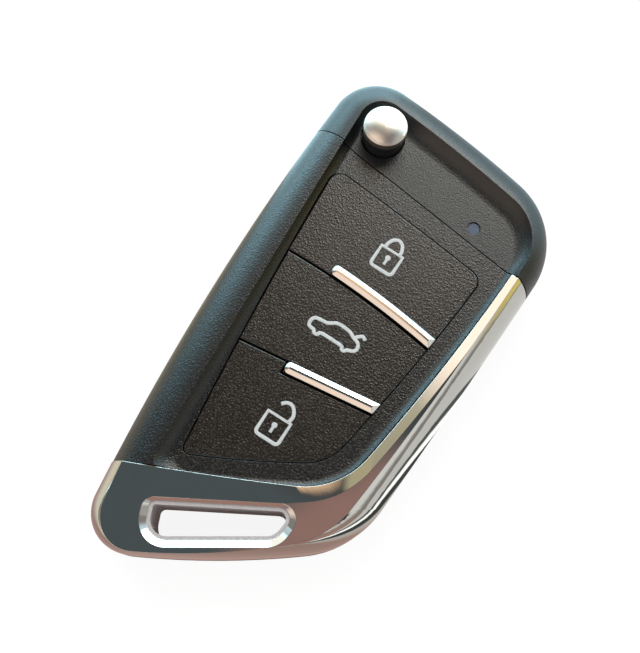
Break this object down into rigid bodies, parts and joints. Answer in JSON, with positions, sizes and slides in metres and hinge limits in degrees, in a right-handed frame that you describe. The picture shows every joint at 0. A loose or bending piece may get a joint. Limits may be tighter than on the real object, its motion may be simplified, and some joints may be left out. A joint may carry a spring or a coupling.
{
  "type": "folding car key fob",
  "caption": "Folding remote key shell with a dished black front, bright trim, push keys, release button, key-ring slot and a blade that flips out of the side.",
  "frame": {"origin": "on the flat rear face, on the blade's pivot axis", "axes": "+Z out of the front face, +Y from the key-ring foot to the head, +X towards the bright trim"},
  "size_m": [0.0393, 0.0771, 0.0181],
  "materials": {
    "case_black": "fine pebble grain, satin",
    "key_black": "coarse leather grain, satin",
    "bright_chrome": "bright chrome plating",
    "sleeve_grey": "matte",
    "window_slate": "translucent slate, smooth",
    "stem_black": "smooth satin black",
    "hub_zinc": "black coated die casting",
    "blade_steel": "nickel plated, brushed",
    "spring_steel": "drawn wire",
    "board_green": "green solder mask",
    "chip_black": "moulded epoxy",
    "plunger_white": "moulded white",
    "can_steel": "pressed steel",
    "contact_nickel": "nickel plated strip",
    "screw_steel": "dark zinc"
  },
  "bodies": {
    "case": {"front_shell": "case_black", "head_cover": "case_black", "rear_shell": "case_black", "chrome_trim": "bright_chrome", "keyring_sleeve": "sleeve_grey", "led_window": "window_slate", "circuit_board": "board_green", "switch_lock": "chip_black", "switch_trunk": "chip_black", "switch_unlock": "chip_black", "led_chip": "plunger_white", "control_chip": "chip_black", "crystal": "can_steel", "antenna_coil": "chip_black", "battery_clip": "contact_nickel", "battery_contact": "contact_nickel", "battery": "can_steel", "transponder": "chip_black", "case_screws": "screw_steel"},
    "door": {"battery_cover": "case_black"},
    "blade_arm": {"flip_hub": "hub_zinc", "key_blade": "blade_steel", "blade_pin": "blade_steel", "flip_spring": "spring_steel"},
    "release": {"release_stem": "stem_black", "release_cap": "bright_chrome"},
    "lock_key": {"lock_button": "key_black", "lock_bar": "bright_chrome", "plunger_lock": "plunger_white"},
    "trunk_key": {"trunk_button": "key_black", "trunk_bar": "bright_chrome", "plunger_trunk": "plunger_white"},
    "unlock_key": {"unlock_button": "key_black", "plunger_unlock": "plunger_white"}
  },
  "joints": [
    {"name": "blade_flip", "type": "hinge", "parent": "case", "child": "blade_arm", "pos_m": [0, 0, 0.0064], "axis": [0, 0, -1], "range_deg": [0, 180]},
    {"name": "release_press", "type": "slide", "parent": "blade_arm", "child": "release", "axis": [0, 0, -1], "range_m": [0, 0.0022], "stiffness_N_per_m": 1000, "deforming": ["flip_spring"]},
    {"name": "lock_press", "type": "slide", "parent": "case", "child": "lock_key", "axis": [0, 0, -1], "range_m": [0, 0.00035], "stiffness_N_per_m": 4000},
    {"name": "trunk_press", "type": "slide", "parent": "case", "child": "trunk_key", "axis": [0, 0, -1], "range_m": [0, 0.00035], "stiffness_N_per_m": 4000},
    {"name": "unlock_press", "type": "slide", "parent": "case", "child": "unlock_key", "axis": [0, 0, -1], "range_m": [0, 0.00035], "stiffness_N_per_m": 4000},
    {"name": "door_lift", "type": "slide", "parent": "case", "child": "door", "axis": [0, 0, -1], "range_m": [0, 0.008]}
  ]
}
